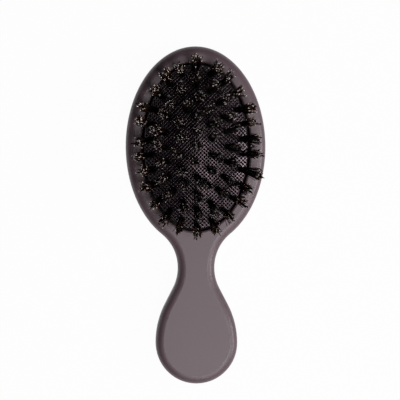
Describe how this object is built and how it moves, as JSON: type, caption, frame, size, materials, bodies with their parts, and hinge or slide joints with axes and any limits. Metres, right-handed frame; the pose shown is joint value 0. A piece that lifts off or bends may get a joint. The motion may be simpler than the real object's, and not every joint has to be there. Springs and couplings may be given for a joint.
{
  "type": "hair grooming brush",
  "caption": "Small oval cushion hair brush with a waisted neck, a rounded paddle handle and a domed rubber pad of bristle tufts that each carry a longer ball-tipped pin.",
  "frame": {"origin": "on the surface under the flat back, at the middle of the brush's length and width", "axes": "+Y from the handle towards the head, +Z out of the cushion along the tufts, +X across the head"},
  "size_m": [0.06, 0.145, 0.0373],
  "materials": {
    "shell": "soft-touch matt, dark taupe",
    "cushion": "black with a moulded diamond weave",
    "plug": "black moulded",
    "bristle": "dark natural bristle with tan cut ends",
    "nylon": "black nylon",
    "ball": "dark resin bead"
  },
  "bodies": {
    "handle_body": {"front_shell": "shell", "rear_shell": "shell", "clamp_ring": "plug", "cushion": "cushion"},
    "outer_ring": {"tuft_plugs_outer_ring": "plug", "bristles_outer_ring": "bristle", "pins_outer_ring": "nylon", "pin_balls_outer_ring": "ball"},
    "middle_ring": {"tuft_plugs_middle_ring": "plug", "bristles_middle_ring": "bristle", "pins_middle_ring": "nylon", "pin_balls_middle_ring": "ball"},
    "inner_ring": {"tuft_plugs_inner_ring": "plug", "bristles_inner_ring": "bristle", "pins_inner_ring": "nylon", "pin_balls_inner_ring": "ball"},
    "centre_row": {"tuft_plugs_centre_row": "plug", "bristles_centre_row": "bristle", "pins_centre_row": "nylon", "pin_balls_centre_row": "ball"}
  },
  "joints": [
    {"name": "cushion_press", "type": "slide", "parent": "handle_body", "child": "centre_row", "axis": [0, 0, -1], "range_m": [0, 0.0028], "stiffness_N_per_m": 1500, "deforming": ["cushion"]},
    {"name": "inner_ring_press", "type": "slide", "parent": "handle_body", "child": "inner_ring", "axis": [0, 0, -1], "range_m": [0, 0.0025]},
    {"name": "middle_ring_press", "type": "slide", "parent": "handle_body", "child": "middle_ring", "axis": [0, 0, -1], "range_m": [0, 0.00178]},
    {"name": "outer_ring_press", "type": "slide", "parent": "handle_body", "child": "outer_ring", "axis": [0, 0, -1], "range_m": [0, 0.00066]}
  ],
  "couplings": [
    {"joint": "inner_ring_press", "follows": "cushion_press", "ratio": 0.89},
    {"joint": "middle_ring_press", "follows": "cushion_press", "ratio": 0.6312},
    {"joint": "outer_ring_press", "follows": "cushion_press", "ratio": 0.2328}
  ]
}
